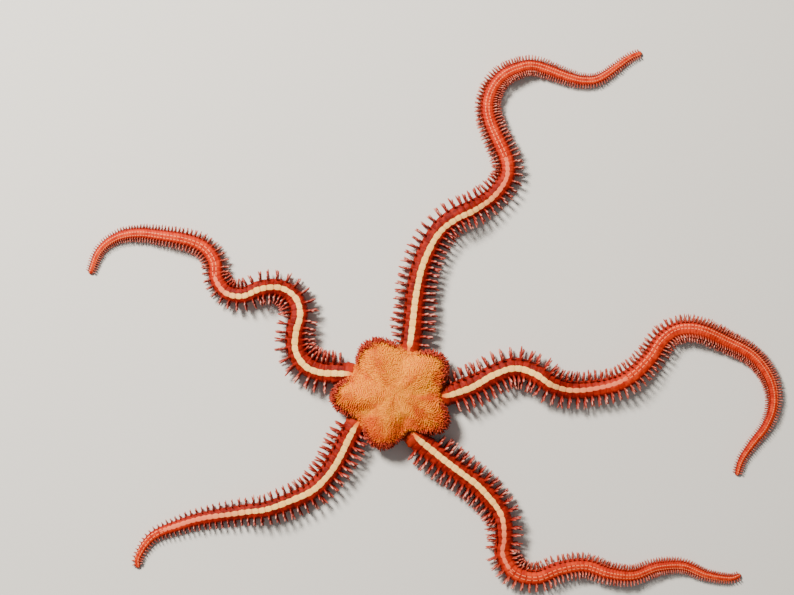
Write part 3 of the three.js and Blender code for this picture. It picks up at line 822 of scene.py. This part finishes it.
def fringe_spinelets(draw):
    pegs = []
    for i in range(FRINGE_COUNT):
        angle = 2 * math.pi * about(draw, i, FRINGE_SHIFT) / FRINGE_COUNT
        pole = draw.uniform(*FRINGE_ZONE)
        p, normal = skin_frame(angle, pole)
        lobe = outline_at(angle)[1]
        droop = Vector((0, 0, -FRINGE_DROOP * (1 - lobe)))
        pegs.append(spinelet(
            p, normal, normal + droop + scatter(draw, FRINGE_SCATTER),
            about(draw, *FRINGE_RADIUS),
            FRINGE_LENGTH + FRINGE_LONGER * lobe + draw.uniform(*FRINGE_LUCK),
            on_map(BACK_MAP, FRINGE_OUT - FRINGE_BAND * pole, angle),
            luck=draw.random(), rim=lobe_red(lobe), glow=FRINGE_GLOW))
    return coat("disc_fringe", peg_shape(SPINE_PROFILE, SPINE_SIDES), pegs)


def belly_granules(draw):
    pegs = []
    rays = [math.radians(degrees) for degrees, _ in OUTLINE[1::2]]
    shields = [Vector((math.cos(ray), math.sin(ray))) * SHIELD_OUT for ray in rays]
    for i in range(BELLY_COUNT):
        out = min(math.sqrt((i + 0.5) / BELLY_COUNT), BELLY_ENDS)
        angle = about(draw, i * GOLDEN, BELLY_TURN)
        pole = -pole_at(out)
        p, normal = skin_frame(angle, pole)
        if (min((shield - p.xy).length for shield in shields) < CLEAR_OF_SHIELD
                or p.xy.length < MOUTH_RADIUS + CLEAR_OF_MOUTH
                or nearest_arm(p)[0] < CLEAR_OF_ARM or slit_at(p) > CLEAR_OF_SLIT):
            continue
        rim, glow = disc_marks(p, pole)
        pegs.append(spinelet(
            p, normal, normal + scatter(draw, BELLY_SCATTER), about(draw, *BELLY_RADIUS),
            about(draw, BELLY_LENGTH[0] + BELLY_LONGER * rim, BELLY_LENGTH[1]),
            on_map(BELLY_MAP, out, angle), luck=draw.random(), rim=rim, glow=glow))
    return coat("disc_belly_granules", peg_shape(GRANULE_PROFILE, GRANULE_SIDES), pegs)


# Granule lime: matt, darker at the foot as painted shade down in the pile, orange to yellow
# on the back and red round the margin
def granule_material():
    material, tree, surface, (tip, luck, rim, glow) = new_material(
        "granule_lime", ("tip", "luck", "rim", "glow"), Roughness=0.6, Specular_IOR_Level=0.15)
    # The foot's darker colours: painted shade down among the close granules
    foot = painted(tree, "#B83C00",
                   (glow, 0.0, 1.0, 1.0, "#DC5E00"),
                   (rim, 0.0, 1.0, 1.0, "#520804"))
    red = painted(tree, "#8A1208",
                  (luck, 0.2, 1.0, 1.0, "#BE3418"),
                  (tip, 0.75, 1.0, 0.6, "#D86848"))
    body = painted(tree, "#E05800",
                   (glow, 0.0, 1.0, 1.0, "#FFA200"),
                   (luck, 0.55, 1.0, 0.3, "#FFB41C"),
                   (luck, 0.4, 0.0, 0.3, "#D04C00"),
                   (rim, 0.0, 1.0, 1.0, red))
    # Painted shade: the foot darker, the rest of the granule in the body's colours
    whole = painted(tree, foot, (tip, 0.15, 0.75, 1.0, body))
    place = add(tree, "TexCoord", output="Object")
    grit = add(tree, "TexNoise", {"Vector": place, "Scale": 1 / (GRIT * MM)})
    tree.links.new(whole, surface.inputs["Base Color"])
    relief = add(tree, "Bump", {"Height": grit, "Strength": 0.3, "Distance": 0.01 * MM})
    tree.links.new(relief, surface.inputs["Normal"])
    return material


granule_lime = granule_material()
for pile in (back_granules(random.Random(77)), fringe_spinelets(random.Random(78)),
             belly_granules(random.Random(79))):
    pile.data.materials.append(granule_lime)
    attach(pile, "root")


# The jaws. Five smooth wedges of lime meet round the mouth, each with a tooth at its point and a
# row of blunt papillae down each side, which close the slits between them. Behind each lies a
# smooth oral shield, a rounded plate set in the skin, on which the disc rests.
JAW_REACH = 4.2  # mm from the middle of the mouth
JAW_HEIGHT = 1.7
JAW_SHOULDER = 0.55  # mm up, where the sides start to round over to the flat that it rests on
JAW_FLAT = 0.5  # of the jaw's outline
JAW_POINT, POINT_WIDTH = 0.75, 0.3
ARC_POINTS, ROUND_STEPS = 9, 6
MOUTH_SLIT = 0.45  # mm, half the width of the slit that runs out towards each arm
PAPILLAE = (1.4, 1.95, 2.5, 3.05, 3.6)  # mm from the middle of the mouth, down each side of a jaw
PAPILLA_RADIUS, PAPILLA_LENGTH, PAPILLA_LUCK = 0.2, 0.62, 0.1
PAPILLA_HEIGHT, PAPILLA_SUNK = 0.62, 0.25  # mm
PAPILLA_DOWN = -0.35
PAPILLA_SIDES = 10
# The teeth: mm past the jaw's point, side, and radius
TEETH = ((0.1, 0, 0.26), (0.15, -1, 0.16), (0.15, 1, 0.16))
PAPILLA_MAP = 0.1  # of the OFBake map to the mm
SHIELD_RADIUS = 1.25  # mm at the ground
SHIELD_FLARE = 0.2
SHIELD_ROOT = 1.4  # mm, its thickness, which the skin hides
SHIELD_ROUND = 0.28
SHIELD_LONG, SHIELD_BROAD = 1.15, 0.9  # along its ray and across
CLOUDS, PITS = 0.7, 0.15  # mm across


# Bare lime, a little glossy and finely pitted, pink and cream in cloudy patches
def jaw_material():
    material, tree, surface, _ = new_material("jaw_lime", (), Roughness=0.4)
    place = add(tree, "TexCoord", output="Object")
    cloud = add(tree, "TexNoise", {"Vector": place, "Scale": 1 / (CLOUDS * MM)})
    pits = add(tree, "TexNoise", {"Vector": place, "Scale": 1 / (PITS * MM)})
    lime = painted(tree, "#D68462", (cloud, 0.3, 0.7, 1.0, "#EDB898"))
    tree.links.new(lime, surface.inputs["Base Color"])
    relief = add(tree, "Bump", {"Height": pits, "Strength": 0.5, "Distance": 0.03 * MM})
    tree.links.new(relief, surface.inputs["Normal"])
    return material


def turned_to(bm, ray):
    """Turns what was made along the x axis to its own ray from the mouth."""
    turn = Matrix.Rotation(ray, 3, "Z")
    bmesh.ops.rotate(bm, verts=bm.verts, cent=(0, 0, 0), matrix=turn)
    bmesh.ops.translate(bm, verts=bm.verts, vec=mouth)


def jaw_wedge(name, ray, edge):
    bm = bmesh.new()
    rim = [(JAW_POINT, -POINT_WIDTH / 2)]
    rim += [(JAW_REACH * math.cos(a), JAW_REACH * math.sin(a))
            for a in np.linspace(-edge, edge, ARC_POINTS)]
    rim += [(JAW_POINT, POINT_WIDTH / 2)]
    base = bm.faces.new([bm.verts.new((x * MM, y * MM, JAW_SHOULDER * MM)) for x, y in rim])
    risen = bmesh.ops.extrude_face_region(bm, geom=[base], use_keep_orig=True)["geom"]
    bmesh.ops.translate(bm, verts=[v for v in risen if isinstance(v, bmesh.types.BMVert)],
                        vec=(0, 0, (JAW_HEIGHT - JAW_SHOULDER) * MM))
    centre = base.calc_center_median()
    size, height = 1.0, JAW_SHOULDER
    for turn in np.linspace(0, math.pi / 2, ROUND_STEPS + 1)[1:]:
        new_size = JAW_FLAT + (1 - JAW_FLAT) * math.cos(turn)
        new_height = JAW_SHOULDER * (1 - math.sin(turn))
        grown = bmesh.ops.extrude_face_region(bm, geom=[base])["geom"]
        base = next(g for g in grown if isinstance(g, bmesh.types.BMFace))
        bmesh.ops.scale(bm, verts=base.verts, vec=(new_size / size, new_size / size, 1),
                        space=Matrix.Translation(-centre))
        bmesh.ops.translate(bm, verts=base.verts, vec=(0, 0, (new_height - height) * MM))
        size, height = new_size, new_height
    turned_to(bm, ray)
    return finished(bm, name)


def oral_shield(name, ray):
    bm = bmesh.new()
    bmesh.ops.create_cone(bm, cap_ends=True, segments=32, radius1=SHIELD_RADIUS * MM,
                          radius2=(SHIELD_RADIUS + SHIELD_FLARE) * MM, depth=SHIELD_ROOT * MM)
    bottom = [e for e in bm.edges if all(v.co.z < 0 for v in e.verts)]
    bmesh.ops.bevel(bm, geom=bottom, affect="EDGES", offset=SHIELD_ROUND * MM, segments=4,
                    profile=0.5, material=-1)
    bmesh.ops.scale(bm, verts=bm.verts, vec=(SHIELD_LONG, SHIELD_BROAD, 1))
    bmesh.ops.translate(bm, verts=bm.verts, vec=(SHIELD_OUT * MM, 0, SHIELD_ROOT * MM / 2))
    turned_to(bm, ray)
    return finished(bm, name)


def papillae(draw, jaws):
    """A row down each side of each jaw, leaning into the slit, and the tooth and its neighbours."""
    pegs = []
    places = [(out, side, PAPILLA_RADIUS) for out in PAPILLAE for side in (-1, 1)]
    places += [(JAW_POINT + past, side, radius) for past, side, radius in TEETH]
    for middle, edge in jaws:
        ray = Vector((math.cos(middle), math.sin(middle), 0))
        aside = Vector((-ray.y, ray.x, 0))
        slope = math.atan2(JAW_REACH * math.sin(edge) - POINT_WIDTH / 2,
                           JAW_REACH * math.cos(edge) - JAW_POINT)
        for out, side, radius in places:
            away = (POINT_WIDTH / 2 + (out - JAW_POINT) * math.tan(slope)) * side
            spot = ray * out + aside * away
            lean = aside * side * math.cos(slope) - ray * (math.sin(slope) if side else 1)
            direction = lean + Vector((0, 0, about(draw, PAPILLA_DOWN, PAPILLA_LUCK)))
            root = mouth + (spot - lean * PAPILLA_SUNK + Vector((0, 0, PAPILLA_HEIGHT))) * MM
            pegs.append(dict(
                root=np.array(root), direction=direction, radius=radius * MM,
                length=PAPILLA_LENGTH * about(draw, 1, PAPILLA_LUCK) * MM,
                map=(0.5 + PAPILLA_MAP * spot.x, 0.5 + PAPILLA_MAP * spot.y),
                facts=dict(luck=draw.random())))
    return coat("jaw_papillae", peg_shape(SPINE_PROFILE, PAPILLA_SIDES), pegs)


jaw_lime = jaw_material()
jaws = []
for i, ((before, _), (lobe, _), (after, _)) in enumerate(
        zip(OUTLINE[0::2], OUTLINE[1::2], OUTLINE[2::2])):
    middle, half = math.radians(before + after) / 2, math.radians(after - before) / 2
    jaws.append((middle, half - math.asin(MOUTH_SLIT / JAW_REACH)))
    jaw = jaw_wedge(f"jaw_{i + 1}_plate", *jaws[-1])
    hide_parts(f"jaw_{i + 1}")
    for piece in (jaw, oral_shield(f"oral_shield_{i + 1}", math.radians(lobe))):
        piece.data.materials.append(jaw_lime)
        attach(piece, "root")
mouth_papillae = papillae(random.Random(80), jaws)
mouth_papillae.data.materials.append(jaw_lime)
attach(mouth_papillae, "root")


# The setting: a matt pale floor, one large soft lamp high on the upper left, as the flash stood,
# and a weak even light from all round. The camera hangs straight over the star, with the photo's
# framing.
FRAME_WIDTH = 142.9  # mm across the photo at the star
VIEW_FROM_MOUTH = (0.27, 17.19)  # mm from the mouth to the middle of the photo
VIEW_ABOVE = 0.0015  # m, the height of the arms' backs, at which the frame has that width
LENS, SENSOR = 90.0, 36.0
FLOOR_DROP = 0.00005  # m, so that the floor doesn't flicker through what rests on it
LAMP_PLACE = Vector((-0.22, 0.26, 0.34))  # m from the mouth

bpy.ops.mesh.primitive_plane_add(size=2.0, location=(0, 0, -FLOOR_DROP))
floor = bpy.context.object
floor.name = "floor"
pale_floor = new_material("pale_floor", (), Roughness=0.85, Base_Color=colour("#D6D1C8"))[0]
floor.data.materials.append(pale_floor)

lamp = bpy.data.lights.new("flash", "AREA")
lamp.shape = "DISK"
lamp.size = 0.12  # m
lamp.energy = 6.5  # W
lamp.color = (1.0, 0.97, 0.92)
flash = bpy.data.objects.new("flash", lamp)
flash.location = mouth + LAMP_PLACE
flash.rotation_euler = (mouth - flash.location).to_track_quat("-Z", "Y").to_euler()
bpy.context.collection.objects.link(flash)

world = bpy.data.worlds.new("studio")
bpy.context.scene.world = world
world.use_nodes = True
background = world.node_tree.nodes["Background"]
background.inputs["Color"].default_value = colour("#EDEFF2")
background.inputs["Strength"].default_value = 0.3

camera = bpy.data.objects.new("camera", bpy.data.cameras.new("camera"))
camera.data.sensor_width = SENSOR
camera.data.lens = LENS
camera.data.clip_start = 0.01
camera.location = mouth + Vector((VIEW_FROM_MOUTH[0] * MM, VIEW_FROM_MOUTH[1] * MM,
                                  FRAME_WIDTH * MM * LENS / SENSOR + VIEW_ABOVE))
bpy.context.collection.objects.link(camera)
bpy.context.scene.camera = camera
